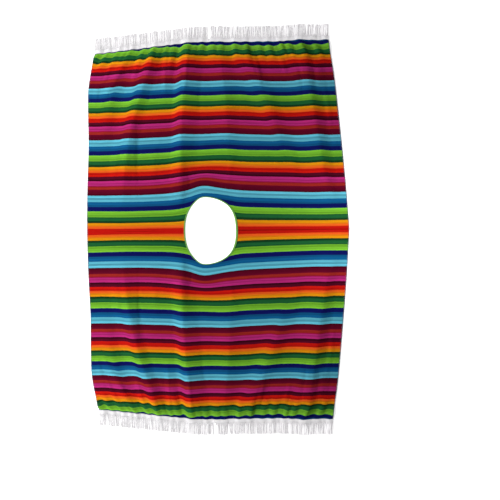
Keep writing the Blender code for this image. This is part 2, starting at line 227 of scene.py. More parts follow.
def foldsAt(x, along):
    # Height of the underside and its pull towards the hem.
    share = along / cloth["lengthToTrim"]
    held = smoothTo(share, trimHolds["foldsFrom"], 1)
    height, pull = np.zeros_like(x), np.zeros_like(x)
    for hem, middle, shoulder, fades, tall, left, right, drawn in mainFolds:
        offset = x - crestAt(hem, middle, shoulder, share)
        amount = smoothTo(share, fades, fades + foldRiseShare) * crested(offset, left, right)
        height += tall * amount * (1 - trimHolds["folds"] * held)
        pull += drawn * amount
    fromTrim = cloth["lengthToTrim"] - along
    press = 1 - trimHolds["gathers"] * (1 - smoothTo(fromTrim, 0, trimHolds["press"]))
    for look, rows in zip(gathers, gatherTables):
        for place, reach, tall in rows:
            amount = ridge(x - place * (1 + look["fan"] * fromTrim), look["halfWidth"], look["halfWidth"])
            amount = amount * (1 - smoothTo(fromTrim, reach * look["fullShare"], reach))
            sized = look["rightShare"] + (1 - look["rightShare"]) * smoothTo(place, *fineLeftOf)
            height += tall * amount * press * sized
            pull += look["pull"] * amount
            pull += look["freePull"] * sized * amount**freePullPower * smoothTo(fromTrim, 0, freePullFrom)
    return height, pull


def creasesAt(x, y):
    height = np.zeros_like(x)
    for x0, y0, x1, y1, tall, left, right, bow in handCreases:
        runX, runY = x1 - x0, y1 - y0
        length = math.hypot(runX, runY)
        along = np.clip(((x - x0) * runX + (y - y0) * runY) / length**2, 0, 1)
        bowed = bow * length * np.sin(np.pi * along)
        offset = ((x - x0) * runY - (y - y0) * runX) / length + bowed
        height += tall * np.sin(np.pi * along) ** creaseTaper * ridge(offset, left, right)
    swell = np.sin(2 * np.pi * (x - waves["lean"] * y) / waves["pitch"] + waves["phase"]) * 0.5 + 0.5
    return height + waves["height"] * swell * smoothTo(y, waves["fadeFrom"], waves["fadeTo"])


def spreadFlat(across, along):
    left, right = sideEdges(along)
    x = (left + right) / 2 + (right - left) / 2 * across / cloth["halfWidth"]
    shortening = laid["hemShortening"] * (along / cloth["lengthToTrim"]) ** laid["shorteningPower"]
    corners = laid["leftShortening"][0] * rampTo(x, *laid["leftShortening"][1:])
    corners = corners - laid["rightLengthening"][0] * rampTo(x, *laid["rightLengthening"][1:])
    return x, laid["shoulderStretch"] * along * (1 - shortening) * (1 - corners)


def underside(across, along, dressed=True):
    # Where the flat cloth's points lie, on the back half. Past the trim's inner edge it runs on straight.
    across, along = np.broadcast_arrays(np.asarray(across, float), np.asarray(along, float))
    past = np.maximum(0, along - cloth["lengthToTrim"])
    along = np.clip(along, 0, cloth["lengthToTrim"])
    x, y = spreadFlat(across, along)
    height, pull = foldsAt(x, along)
    y = y + pull
    beyond = np.maximum(0, np.hypot(across - neck["middle"], along) - neck["cutRadius"])
    angle = np.arctan2(along, across - neck["middle"])
    radius = neck["cutRadius"]
    cutX, cutY = spreadFlat(neck["middle"] + radius * np.cos(angle), radius * np.sin(angle))
    wide = neck["halfWidth"] * (1 + neck["squareness"] * np.sin(2 * angle) ** 2)
    ovalX = spreadFlat(np.array(neck["middle"]), np.array(0.0))[0] + wide * np.cos(angle)
    ovalX = ovalX - neck["lean"] * np.abs(np.sin(angle)) ** neck["leanPower"]
    share = np.maximum(0, 1 - beyond / neck["pullReach"]) ** 2
    x = x + (ovalX - cutX) * share
    y = y + (neck["halfLength"] * np.sin(angle) - cutY) * share
    if dressed:
        height = height + creasesAt(x, y) * smoothTo(cloth["lengthToTrim"] - along, 0, creasesEndBefore)
    height = np.maximum(0, height) * smoothTo(beyond, neck["calmFrom"], neck["calmTo"])
    height = height + neck["rise"] * (1 - smoothTo(beyond, neck["riseFlat"], neck["riseFade"]))
    return np.stack([x, y + cloth["seamGap"] / 2 + past, height], axis=-1)


slopeStep = 0.0005


def unit(vectors):
    return vectors / np.linalg.norm(vectors, axis=-1, keepdims=True)


def upFrom(across, along):
    # The cloth's own upward direction.
    near = np.maximum(0, np.asarray(along, float) - slopeStep)
    stepAcross = underside(across + slopeStep, along) - underside(across - slopeStep, along)
    stepAlong = underside(across, along + slopeStep) - underside(across, near)
    return unit(np.cross(stepAcross, stepAlong))


def skin(across, along, lift):
    return underside(across, along) + upFrom(across, along) * np.asarray(lift)[..., None]


def turned(points):
    c, s = math.cos(laid["turn"]), math.sin(laid["turn"])
    x, y, z = np.moveaxis(np.asarray(points, float), -1, 0)
    return np.stack([c * x - s * y, s * x + c * y, z], axis=-1)


def turnedOnly(vectors, side=1):
    return turned(np.asarray(vectors) * [1, side, 1])


# The garment lies where its solids lie: both shoulder tips are corners of the back panel's box.
tipAcross = np.array([-1.0, 1.0]) * cloth["halfWidth"]
tips = turned(underside(tipAcross, np.zeros(2), dressed=False))
backLow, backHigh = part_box("back_panel")
closer = (cloth["solidSeamGap"] - cloth["seamGap"]) / 2
garmentShift = np.array([
    (backLow[0] + backHigh[0]) / 2 - tips[:, 0].mean(), backLow[1] - tips[0, 1] - closer, 0])


def placed(points, side=1):
    # From the back half's own place to either half's in the frame: side is 1 at the back, -1 in front.
    return turnedOnly(points, side) + garmentShift


def linked(name, data):
    made = bpy.data.objects.new(name, data)
    bpy.context.scene.collection.objects.link(made)
    return made


def newObject(name, mesh, slotName):
    mesh.materials.append(materials[slotName])
    return linked(name, mesh)


def meshFrom(name, points, faces):
    mesh = bpy.data.meshes.new(name)
    mesh.from_pydata(np.asarray(points).reshape(-1, 3).tolist(), [], faces)
    mesh.validate()
    mesh.polygons.foreach_set("use_smooth", [True] * len(mesh.polygons))
    return mesh


# Shader and geometry trees are written with two small classes.
def operator(operation, reflected=False):
    if reflected:
        return lambda self, other: self.sum(operation, other, self)
    return lambda self, other: self.sum(operation, self, other)


def function(operation):
    return lambda self: self.sum(operation, self)


class Signal:
    def __init__(self, sheet, socket):
        self.sheet, self.socket = sheet, socket

    def sum(self, operation, *values):
        return self.sheet.node("ShaderNodeMath", {"operation": operation}, dict(enumerate(values)))

    def output(self, name):
        return Signal(self.sheet, self.socket.node.outputs[name])

    __add__, __radd__ = operator("ADD"), operator("ADD", True)
    __sub__, __rsub__ = operator("SUBTRACT"), operator("SUBTRACT", True)
    __mul__, __rmul__ = operator("MULTIPLY"), operator("MULTIPLY", True)
    __truediv__, __rtruediv__ = operator("DIVIDE"), operator("DIVIDE", True)
    __lt__, __gt__ = operator("LESS_THAN"), operator("GREATER_THAN")
    floor, fraction = function("FLOOR"), function("FRACT")
    sine, cosine = function("SINE"), function("COSINE")


class Sheet:
    def __init__(self, tree):
        self.tree = tree

    def node(self, kind, settings=None, sockets=None, output=0):
        made = self.tree.nodes.new(kind)
        for key, value in (settings or {}).items():
            if key == "stops":
                self.setStops(made.color_ramp, value)
            else:
                setattr(made, key, value)
        for key, value in (sockets or {}).items():
            if isinstance(value, Signal):
                self.tree.links.new(value.socket, made.inputs[key])
            else:
                made.inputs[key].default_value = value
        return Signal(self, made.outputs[output]) if made.outputs else made

    def combined(self, **parts):
        return self.node("ShaderNodeCombineXYZ", None, parts)

    def separated(self, vector):
        parts = self.node("ShaderNodeSeparateXYZ", None, {0: vector})
        return parts.output("X"), parts.output("Y"), parts.output("Z")

    def setStops(self, ramp, stops):
        while len(ramp.elements) < len(stops):
            ramp.elements.new(1.0)
        for element, (position, colour) in zip(ramp.elements, stops):
            element.position = position
            element.color = (*colour, 1)


def linearColour(code, brightness=1.0):
    # A hex colour as the shader's linear numbers.
    parts = [int(code[i : i + 2], 16) / 255 for i in (0, 2, 4)]
    linear = [p / 12.92 if p <= 0.04045 else ((p + 0.055) / 1.055) ** 2.4 for p in parts]
    return tuple(min(1.0, p * brightness) for p in linear)


def setInputs(node, **values):
    for name, value in values.items():
        node.inputs[name.replace("_", " ")].default_value = value


def newMaterial(name, sheen, specular):
    material = bpy.data.materials.new(name)
    material.use_nodes = True
    sheet = Sheet(material.node_tree)
    shader = material.node_tree.nodes["Principled BSDF"]
    setInputs(shader, Sheen_Weight=sheen, Sheen_Roughness=0.4, Specular_IOR_Level=specular)
    return material, sheet, shader


def toned(sheet, colour, tone):
    # A colour made lighter or darker by a number that varies over the surface.
    grey = sheet.node("ShaderNodeCombineColor", None, {"Red": tone, "Green": tone, "Blue": tone})
    settings = {"data_type": "RGBA", "blend_type": "MULTIPLY"}
    mixed = sheet.node("ShaderNodeMix", settings, {0: 1.0, 6: colour, 7: grey})
    return Signal(sheet, mixed.socket.node.outputs[2])


def feed(sheet, shader, **links):
    for name, signal in links.items():
        sheet.tree.links.new(signal.socket, shader.inputs[name.replace("_", " ")])


# Stripes, from the shoulder outwards: name, width in millimetres of cloth, colour, then the band's own
# streaks as share of its width and lightness, from its inner edge to its outer one.
stripes = dict(
    brightness=1.01,
    bands=[
        ("red", 13.9, "ac1008", [(0.5, 1.07), (0.5, 0.90)]),
        ("vermilion", 6.2, "d05018", [(1.0, 1.0)]),
        ("orange", 5.0, "c46410", [(1.0, 1.0)]),
        ("amber", 8.2, "c88008", [(1.0, 1.0)]),
        ("green", 20.3, "165028", [(0.40, 0.42), (0.42, 1.08), (0.18, 0.95)]),
        ("lime", 21.1, "64a028", [(0.24, 0.90), (0.12, 0.76), (0.32, 1.0), (0.32, 1.22)]),
        ("navy", 14.4, "080e50", [(0.36, 1.0), (0.22, 0.9), (0.42, 1.0)]),
        ("teal", 16.8, "0a4c78", [(0.42, 0.85), (0.58, 1.08)]),
        ("cyan", 22.3, "50a0b4", [(0.34, 0.97), (0.30, 0.72), (0.36, 1.18)]),
        ("burgundy", 20.1, "50021a", [(0.30, 0.72), (0.40, 0.96), (0.30, 1.28)]),
        ("brick", 10.1, "88201a", [(1.0, 1.0)]),
        ("wine", 3.1, "840c30", [(1.0, 1.0)]),
        ("magenta", 16.0, "a02266", [(0.33, 0.94), (0.22, 0.76), (0.45, 1.12)]),
        ("maroon", 15.7, "400418", [(0.45, 0.64), (0.55, 1.22)]),
    ],
)

# How far the bands wander from straight, in millimetres inwards. They start inwards at the shoulder, swing
# to the other side further out, and tilt as the cloth lies: the left outwards, the right inwards.
bandTilt = dict(
    shoulder=3.2,
    further=-1.2,
    furtherFrom=0.30,  # distance from the shoulder, in metres
    tilt=22.0,  # millimetres for each metre across, at the full tilt
    tiltFrom=0.58,
)

# Bends given on the laid cloth: place across and outwards, reach across and outwards in metres, and
# how far the bands bend inwards there, in millimetres.
bandBends = [
    (-0.110, 0.075, 0.120, 0.065, 9.0),  # beside the neck, left
    (0.060, 0.080, 0.050, 0.050, 3.5),  # and right
    (-0.320, 0.060, 0.090, 0.075, 2.5),
    (-0.045, 0.148, 0.045, 0.046, -10.0),  # the cloth slips outwards past the neck
    (-0.230, 0.180, 0.110, 0.070, 3.0),
    (-0.290, 0.350, 0.080, 0.120, 1.5),
    (0.010, 0.290, 0.080, 0.110, -5.5),
    (0.180, 0.200, 0.090, 0.150, -2.0),
    (0.360, 0.200, 0.070, 0.160, 3.0),
    (0.300, 0.300, 0.050, 0.130, 2.5),
    (-0.120, 0.350, 0.040, 0.120, -3.0),  # beside the left folds
    (-0.190, 0.400, 0.040, 0.120, 2.0),
    (0.080, 0.480, 0.060, 0.100, -3.5),
    (-0.030, 0.660, 0.130, 0.160, 4.0),  # towards the hem
    (0.160, 0.680, 0.050, 0.140, 3.5),
    (0.280, 0.620, 0.040, 0.080, 3.0),
    (0.430, 0.620, 0.060, 0.090, -3.0),
]

# Creases where the bands jog: their places at the hem, half way and at the shoulder, how far the bands
# shift inwards before a crease and outwards after it in millimetres, how far that reaches to the left and
# right, the crease's own width, and the shares of the length over which it grows.
bandJogs = [
    (-0.118, -0.145, -0.172, 4.0, 3.4, 0.055, 0.060, 0.022, 0.25, 0.80),
    (-0.224, -0.323, -0.381, 3.6, 3.4, 0.075, 0.060, 0.022, 0.25, 0.80),
    (-0.250, -0.450, -0.600, 0.6, 2.4, 0.030, 0.040, 0.022, 0.60, 0.80),
    (0.020, 0.190, 0.260, 1.4, 2.8, 0.060, 0.065, 0.034, 0.20, 0.60),
    (0.200, 0.332, 0.400, 0.6, 3.6, 0.050, 0.060, 0.034, 0.60, 0.95),
]


def jogAt(x, share):
    total = np.zeros_like(x)
    for hem, middle, shoulder, before, after, left, right, width, start, end in bandJogs:
        offset = x - crestAt(hem, middle, shoulder, share)
        over = smoothTo(offset, -width / 2, width / 2)
        inwards = smoothTo(offset, -left, -width / 2) * (1 - over)
        outwards = over * (1 - smoothTo(offset, width / 2, right))
        total += (before * inwards - after * outwards) * smoothTo(share, start, end)
    return total


def wanderAt(x, y):
    swing = bandTilt["shoulder"] + (bandTilt["further"] - bandTilt["shoulder"]) * rampTo(
        y, 0, bandTilt["furtherFrom"])
    wander = swing + bandTilt["tilt"] * x * rampTo(y, 0, bandTilt["tiltFrom"])
    for placeX, placeY, reachX, reachY, shift in bandBends:
        wander += shift * np.exp(-(((x - placeX) / reachX) ** 2) - ((y - placeY) / reachY) ** 2)
    return wander


def stripeAt(across, along):
    x, y = spreadFlat(across, along)
    jog = jogAt(x, along / cloth["lengthToTrim"])
    return along + (wanderAt(x, y) + jog) / 1000


weave = dict(
    rib=0.0013,  # one pick of weft, in metres
    warp=0.0021,
    streak=0.0024,
    streakAmount=0.22,
    yarnAmount=0.10,
    mottleAmount=0.14,
    edgeWaver=0.0011,
    seamWidth=0.0017,
    seamShade=(0.12, 0.50),  # how far painted shade along the seam darkens the cloth, left and right of the neck
    roughness=0.66,
    roughnessSpread=0.25,
    bump=0.55,
    bumpHeight=0.0005,
    bumpShares=dict(rib=0.5, warp=0.35, fuzz=0.5, streak=0.8),
    # How fast each noise changes: for each metre across, then outwards.
    waverScale=(160, 500),
    mottleScale=(26, 420),
    fuzzScale=(900, 900),
    streakAcross=3,
    tones=(0.96, 0.05, 0.03),  # the cloth's own, then how far painted shade and highlight on the ribs and their crossings change it
)


def stripedCloth():
    material, sheet, shader = newMaterial("stripedCloth", sheen=0.0, specular=0.025)
    place = sheet.node("ShaderNodeUVMap", {"uv_map": "bands"})
    across, along, _ = sheet.separated(place)
    _, fromSeam, _ = sheet.separated(sheet.node("ShaderNodeUVMap", {"uv_map": "cut"}))

    def noise(x, y, detail):
        return sheet.node("ShaderNodeTexNoise", {"noise_dimensions": "2D"},
                          {"Vector": sheet.combined(X=x, Y=y), "Scale": 1.0, "Detail": detail})

    def noiseAt(scale, detail):
        return noise(across * scale[0], along * scale[1], detail)

    waver = (noiseAt(weave["waverScale"], 2.0) - 0.5) * weave["edgeWaver"]
    period = sum(band[1] for band in stripes["bands"]) / 1000
    share = ((along + waver) / period + 10).fraction()
    stops, at = [], 0.0
    for name, width, code, streaks in stripes["bands"]:
        for part, lightness in streaks:
            stops.append((at, linearColour(code, stripes["brightness"] * lightness)))
            at += part * width / 1000 / period
    colour = sheet.node("ShaderNodeValToRGB", {"stops": stops}, {"Fac": share})
    colour.socket.node.color_ramp.interpolation = "CONSTANT"

    yarn = sheet.node("ShaderNodeTexWhiteNoise", {"noise_dimensions": "1D"},
                      {"W": ((along + waver) / weave["rib"]).floor()})
    streak = noise(across * weave["streakAcross"], along / weave["streak"], 1.0)
    mottle = noiseAt(weave["mottleScale"], 3.0)
    tone = 1 + (streak - 0.5) * weave["streakAmount"] * 2
    tone = tone + (yarn - 0.5) * weave["yarnAmount"] * 2 + (mottle - 0.5) * weave["mottleAmount"] * 2
    # Painted shade along the shoulder seam, deeper to the right of the neck.
    seam = fromSeam < weave["seamWidth"]
    leftShade, rightShade = weave["seamShade"]
    tone = tone * (1 - seam * (leftShade + (0 < across) * (rightShade - leftShade)))
    rib = (along * (math.tau / weave["rib"])).cosine()
    warp = (across * (math.tau / weave["warp"])).cosine()
    # Painted shade in the hollows and highlight on the crests of the weave's ribs and crossings, as the
    # bump has them.
    own, ribShading, crossingShading = weave["tones"]
    tone = tone * (own + rib * ribShading + warp * rib * crossingShading)
    fuzz = noiseAt(weave["fuzzScale"], 2.0)
    shares = weave["bumpShares"]
    height = rib * shares["rib"] + warp * rib * shares["warp"]
    height = height + fuzz * shares["fuzz"] + streak * shares["streak"]
    bump = sheet.node("ShaderNodeBump", None, {
        "Strength": weave["bump"], "Distance": weave["bumpHeight"], "Height": height})
    feed(sheet, shader, Base_Color=toned(sheet, colour, tone), Normal=bump,
         Roughness=weave["roughness"] + (mottle - 0.5) * weave["roughnessSpread"])
    return material


threadLooks = dict(
    binding=dict(colour="68984a", dark=0.66, scale=700, sheen=0.03, roughness=0.85),
    trim=dict(colour="dcdadc", dark=0.86, scale=900, sheen=0.0, roughness=0.92, paintedShadeToLeft=0.50),
    overlock=dict(colour="8c8a9a", dark=0.70, scale=1400, sheen=0.02, roughness=0.85),
    stitching=dict(colour="3c8538", dark=0.70, scale=1500, sheen=0.03, roughness=0.80),
)


def threadMaterial(name, look):
    # Spun or woven yarn of one colour: mottled, with painted shade in its hollows, fuzzy.
    material, sheet, shader = newMaterial(name, sheen=look["sheen"], specular=0.05)
    place = sheet.node("ShaderNodeTexCoord").output("Object")

    def noise(scale, detail):
        return sheet.node("ShaderNodeTexNoise", None, {"Vector": place, "Scale": scale, "Detail": detail})

    fine, broad = noise(look["scale"], 3.0), noise(look["scale"] / 18, 2.0)
    # Mottle, with painted shade where the fine noise, which also raises the bump, is low.
    tone = look["dark"] + (1 - look["dark"]) * 2 * (fine * 0.6 + broad * 0.4)
    if "paintedShadeToLeft" in look:  # painted shade and light: the trim's colour darkens to the left, where the lamps are strongest, and lightens to the right, a share for each metre
        tone = tone * (1 + sheet.separated(place)[0] * look["paintedShadeToLeft"])
    base = sheet.node("ShaderNodeRGB")
    base.socket.default_value = (*linearColour(look["colour"]), 1)
    bump = sheet.node("ShaderNodeBump", None, {"Strength": 0.5, "Distance": 0.0003, "Height": fine})
    feed(sheet, shader, Base_Color=toned(sheet, base, tone), Normal=bump,
         Roughness=look["roughness"] + (broad - 0.5) * 0.2)
    return material


materials = {
    "striped_cloth": stripedCloth(),
    "green_binding": threadMaterial("greenBinding", threadLooks["binding"]),
    "white_trim": threadMaterial("whiteTrim", threadLooks["trim"]),
    "overlock": threadMaterial("overlockThread", threadLooks["overlock"]),
    "stitching": threadMaterial("greenStitching", threadLooks["stitching"]),
}
print("materials made:", len(materials))


# Both panels: one grid whose first row follows the shoulder seam and the neck's cut edge.
def panelGrid():
    neckLeft, neckRight = neck["middle"] - neck["cutRadius"], neck["middle"] + neck["cutRadius"]
    angles = np.linspace(0, math.pi, cloth["columnsNeck"] + 1)[:-1]
    across = np.concatenate([
        np.linspace(-cloth["halfWidth"], neckLeft, cloth["columnsLeft"] + 1)[:-1],
        neck["middle"] - neck["cutRadius"] * np.cos(angles),
        np.linspace(neckRight, cloth["halfWidth"], cloth["columnsRight"] + 1),
    ])
    start = np.sqrt(np.maximum(0, neck["cutRadius"] ** 2 - (across - neck["middle"]) ** 2))
    first = cloth["shoulderRows"]
    rest = 1 - np.linspace(1, 0, cloth["rows"] - len(first) + 1)[1:] ** cloth["hemCrowding"]
    shares = np.concatenate([first, first[-1] + (1 - first[-1]) * rest])
    along = start + (cloth["lengthToEnd"] - start) * shares[:, None]
    return np.broadcast_to(across, along.shape), along


def makePanel(name, side):
    across, along = panelGrid()
    rows, columns = across.shape
    low = placed(underside(across, along), side)
    high = placed(skin(across, along, np.full(across.shape, cloth["thickness"])), side)
    count = rows * columns
    index = np.arange(count).reshape(rows, columns)
    a, b, c, d = index[:-1, :-1], index[:-1, 1:], index[1:, 1:], index[1:, :-1]
    top = np.stack([a, b, c, d], -1).reshape(-1, 4) + count
    bottom = np.stack([d, c, b, a], -1).reshape(-1, 4)
    rim = np.concatenate([index[0, :-1], index[:-1, -1], index[-1, :0:-1], index[:0:-1, 0]])
    after = np.roll(rim, -1)
    wall = np.stack([rim, after, after + count, rim + count], -1)
    faces = np.concatenate([top, bottom, wall])
    if side < 0:
        faces = faces[:, ::-1]
    mesh = meshFrom(name, np.concatenate([low.reshape(-1, 3), high.reshape(-1, 3)]), faces.tolist())
    corners = np.empty(len(mesh.loops), int)
    mesh.loops.foreach_get("vertex_index", corners)
    for label, distance in (("bands", stripeAt(across, along)), ("cut", along)):
        layer = mesh.uv_layers.new(name=label)
        flat = np.stack([across.ravel(), distance.ravel()], -1)
        layer.data.foreach_set("uv", flat[corners % count].ravel())
    return newObject(name, mesh, "striped_cloth")


backPanel = makePanel("backPanel", 1)
frontPanel = makePanel("frontPanel", -1)
print("panels made:", len(backPanel.data.polygons) * 4, "triangles in both")


# Neck binding: a folded tape round the cut edge, with a row of stitches near its outer edge.
binding = dict(
    width=0.0018,
    widerLeft=0.0018,
    widerRight=0.0048,
    leg=0.0009,
    web=0.0010,
    stations=300,
    pucker=0.00018,
    puckerPitch=0.0062,
    puckerDrift=90,
    clearance=0.0002,  # between the cloth and the tape
    edgeCurl=0.0006,
    webStart=0.0004,
    webStretch=1.3,
    webSteps=8,
    aboveFloor=0.00005,
    reach=0.006,  # how far from the cut edge its direction onto the cloth is taken
    seamShare=0.02,  # nearer than this to the shoulder line, the tape crosses the seam square on
    stitchedFrom=0.0030,
    stitchInset=0.0013,
    stitchPitch=0.0031,
    stitchLength=0.0022,
    stitchArch=0.0002,
    thread=0.00028,
)


def neckEdge(angle):
    # Points of the cut edge all round: angle from 0 at the right through pi at the left.
    side = np.where(np.sin(angle) < 0, -1.0, 1.0)
    across = neck["middle"] + neck["cutRadius"] * np.cos(angle)
    along = neck["cutRadius"] * np.abs(np.sin(angle))
    outerAcross = neck["middle"] + (neck["cutRadius"] + binding["reach"]) * np.cos(angle)
    outerAlong = (neck["cutRadius"] + binding["reach"]) * np.abs(np.sin(angle))
    middle = np.full(len(angle), cloth["thickness"] / 2)
    edge, further = skin(across, along, middle), skin(outerAcross, outerAlong, middle)
    seam = (np.abs(np.sin(angle)) < binding["seamShare"])[:, None]
    edge = np.where(seam, edge * [1, 0, 1], edge)
    further = np.where(seam, further * [1, 0, 1], further)
    up = upFrom(across, along)
    mirror = np.stack([np.ones_like(side), side, np.ones_like(side)], -1)
    edge, further, up = edge * mirror, further * mirror, up * mirror
    return edge, unit(further - edge), up


def bindingWidth(angle):
    # The tape rolls under at the top and the bottom, and most of it shows at the right.
    toRight, toLeft = np.maximum(0, np.cos(angle)), np.maximum(0, -np.cos(angle))
    return binding["width"] + binding["widerRight"] * toRight**2 + binding["widerLeft"] * toLeft**2


def bindingSection():
    # The folded tape cut across: share of its width, distance onto the cloth, height from its middle.
    inner = cloth["thickness"] / 2 + binding["clearance"]
    outer = inner + binding["leg"]
    curl = binding["edgeCurl"]
    upper = [(1, -curl, inner), (1, 0, inner + 0.0003), (1, -0.0005, outer - 0.0001), (0.55, 0, outer)]
    lower = [(share, distance, -height) for share, distance, height in reversed(upper)]
    web = []
    for step in range(binding["webSteps"] + 1):
        turn = math.pi / 2 + math.pi * step / binding["webSteps"]
        distance = binding["webStart"] + binding["web"] * math.cos(turn) * binding["webStretch"]
        web.append((0, distance, outer * math.sin(turn)))
    return upper + web + lower + [(0, 0, -inner), (0, 0, inner)]


def makeBinding():
    angles = np.arange(binding["stations"]) * math.tau / binding["stations"]
    edge, onto, up = neckEdge(angles)
    run = angles * neck["cutRadius"]
    drift = np.sin(run * binding["puckerDrift"])
    ripple = np.sin(run * math.tau / binding["puckerPitch"] + drift) * binding["pucker"]
    width = bindingWidth(angles)
    rings = []
    for share, distance, height in bindingSection():
        grown = max(height, 0) / cloth["thickness"] * ripple
        rings.append(edge + onto * (share * width + distance)[:, None] + up * (height + grown)[:, None])
    points = np.stack(rings, 1)
    points[..., 2] = np.maximum(points[..., 2], binding["aboveFloor"])
    stations, corners = points.shape[:2]
    index = np.arange(stations * corners).reshape(stations, corners)
    after = np.roll(index, -1, 0)
    faces = np.stack([index, np.roll(index, -1, 1), np.roll(after, -1, 1), after], -1).reshape(-1, 4)
    mesh = meshFrom("neckBinding", placed(points), faces.tolist())
    recalculate(mesh)
    return newObject("neckBinding", mesh, "green_binding")


def recalculate(mesh):
    built = bmesh.new()
    built.from_mesh(mesh)
    bmesh.ops.recalc_face_normals(built, faces=built.faces)
    built.to_mesh(mesh)
    built.free()


neckBinding = makeBinding()
print("binding made")


# Geometry Nodes: points with attributes go in, and a plain mesh comes out.
def pointsObject(name, points, **attributes):
    mesh = bpy.data.meshes.new(name)
    mesh.from_pydata(np.asarray(points).tolist(), [], [])
    for key, values in attributes.items():
        values = np.asarray(values, float)
        kind = "FLOAT_VECTOR" if values.ndim == 2 else "FLOAT"
        layer = mesh.attributes.new(key, kind, "POINT")
        layer.data.foreach_set("vector" if values.ndim == 2 else "value", values.ravel())
    return linked(name, mesh)


def newTree(name, inputs):
    tree = bpy.data.node_groups.new(name, "GeometryNodeTree")
    tree.interface.new_socket("Geometry", in_out="INPUT", socket_type="NodeSocketGeometry")
    for label, (kind, value) in inputs.items():
        socket = tree.interface.new_socket(label, in_out="INPUT", socket_type=kind)
        if value is not None:
            socket.default_value = value
    tree.interface.new_socket("Geometry", in_out="OUTPUT", socket_type="NodeSocketGeometry")
    sheet = Sheet(tree)
    return tree, sheet, sheet.node("NodeGroupInput")


def finishTree(tree, sheet, given, shape):
    realized = sheet.node("GeometryNodeRealizeInstances", None, {0: shape})
    painted = sheet.node("GeometryNodeSetMaterial", None,
                         {0: realized, "Material": given.output("Material")})
    sheet.node("NodeGroupOutput", None, {0: painted})
    return tree


def attribute(sheet, name, kind="FLOAT"):
    return sheet.node("GeometryNodeInputNamedAttribute", {"data_type": kind}, {"Name": name})


def tube(sheet, curve, radius, sides, **more):
    # A thread of that radius along the curve.
    ring = sheet.node("GeometryNodeCurvePrimitiveCircle", None, {"Resolution": sides, "Radius": radius})
    return sheet.node("GeometryNodeCurveToMesh", None, {"Curve": curve, "Profile Curve": ring, **more})


def onPoints(sheet, given, thread, smallest, largest):
    # The thread on each point, turned to the point's own directions and a little uneven in size.
    up, along = attribute(sheet, "up", "FLOAT_VECTOR"), attribute(sheet, "along", "FLOAT_VECTOR")
    turn = sheet.node("FunctionNodeAxesToRotation", {"primary_axis": "Z", "secondary_axis": "X"},
                      {0: up, 1: along})
    size = sheet.node("FunctionNodeRandomValue", {"data_type": "FLOAT"},
                      {2: smallest, 3: largest, "Seed": given.output("Seed")}, output=1)
    return sheet.node("GeometryNodeInstanceOnPoints", None,
                      {"Points": given, "Instance": thread, "Rotation": turn, "Scale": size})


def grow(name, source, tree, slotName, **values):
    # Runs a tree on the source's points and keeps the result as a plain mesh.
    modifier = source.modifiers.new("grow", "NODES")
    modifier.node_group = tree
    wanted = {"Material": materials[slotName], **{key.replace("_", " "): v for key, v in values.items()}}
    for item in tree.interface.items_tree:
        if item.item_type == "SOCKET" and item.in_out == "INPUT" and item.name in wanted:
            modifier[item.identifier] = wanted[item.name]
    graph = bpy.context.evaluated_depsgraph_get()
    mesh = bpy.data.meshes.new_from_object(source.evaluated_get(graph))
    mesh.name = name
    for key in ("along", "up", "root", "reach", "lean", "phase", "bow"):
        if key in mesh.attributes:
            mesh.attributes.remove(mesh.attributes[key])
    made = linked(name, mesh)
    if not mesh.materials:
        mesh.materials.append(materials[slotName])
    plain = source.data
    bpy.data.objects.remove(source)
    bpy.data.meshes.remove(plain)
    return made


def stitchTree():
    # One arched stitch on each point, along its run and standing up from the cloth.
    inputs = {"Length": ("NodeSocketFloat", 0.0022), "Thread": ("NodeSocketFloat", 0.0003),
              "Arch": ("NodeSocketFloat", 0.0003), "Seed": ("NodeSocketInt", 3),
              "Material": ("NodeSocketMaterial", None)}
    tree, sheet, given = newTree("stitchLine", inputs)
    half = given.output("Length") * 0.5
    arch = sheet.node("GeometryNodeCurveQuadraticBezier", None, {
        "Resolution": 5, "Start": sheet.combined(X=0 - half),
        "Middle": sheet.combined(Z=given.output("Arch") * 2), "End": sheet.combined(X=half)})
    thread = tube(sheet, arch, given.output("Thread"), 5, **{"Fill Caps": True})
    return finishTree(tree, sheet, given, onPoints(sheet, given, thread, 0.88, 1.10))


def loopTree():
    # One slanting overlock loop on each point, wrapped round the cloth's edge.
    inputs = {"Depth": ("NodeSocketFloat", 0.0017), "Height": ("NodeSocketFloat", 0.001),
              "Thread": ("NodeSocketFloat", 0.0003), "Slant": ("NodeSocketFloat", 0.5),
              "Seed": ("NodeSocketInt", 5), "Material": ("NodeSocketMaterial", None)}
    tree, sheet, given = newTree("overlockLoops", inputs)
    circle = sheet.node("GeometryNodeCurvePrimitiveCircle", None, {"Resolution": 12, "Radius": 1.0})
    x, y, _ = sheet.separated(sheet.node("GeometryNodeInputPosition"))
    deep = x * given.output("Depth")
    oval = sheet.combined(X=deep * given.output("Slant"), Y=deep, Z=y * given.output("Height"))
    shaped = sheet.node("GeometryNodeSetPosition", None, {"Geometry": circle, "Position": oval})
    thread = tube(sheet, shaped, given.output("Thread"), 4)
    return finishTree(tree, sheet, given, onPoints(sheet, given, thread, 0.90, 1.10))


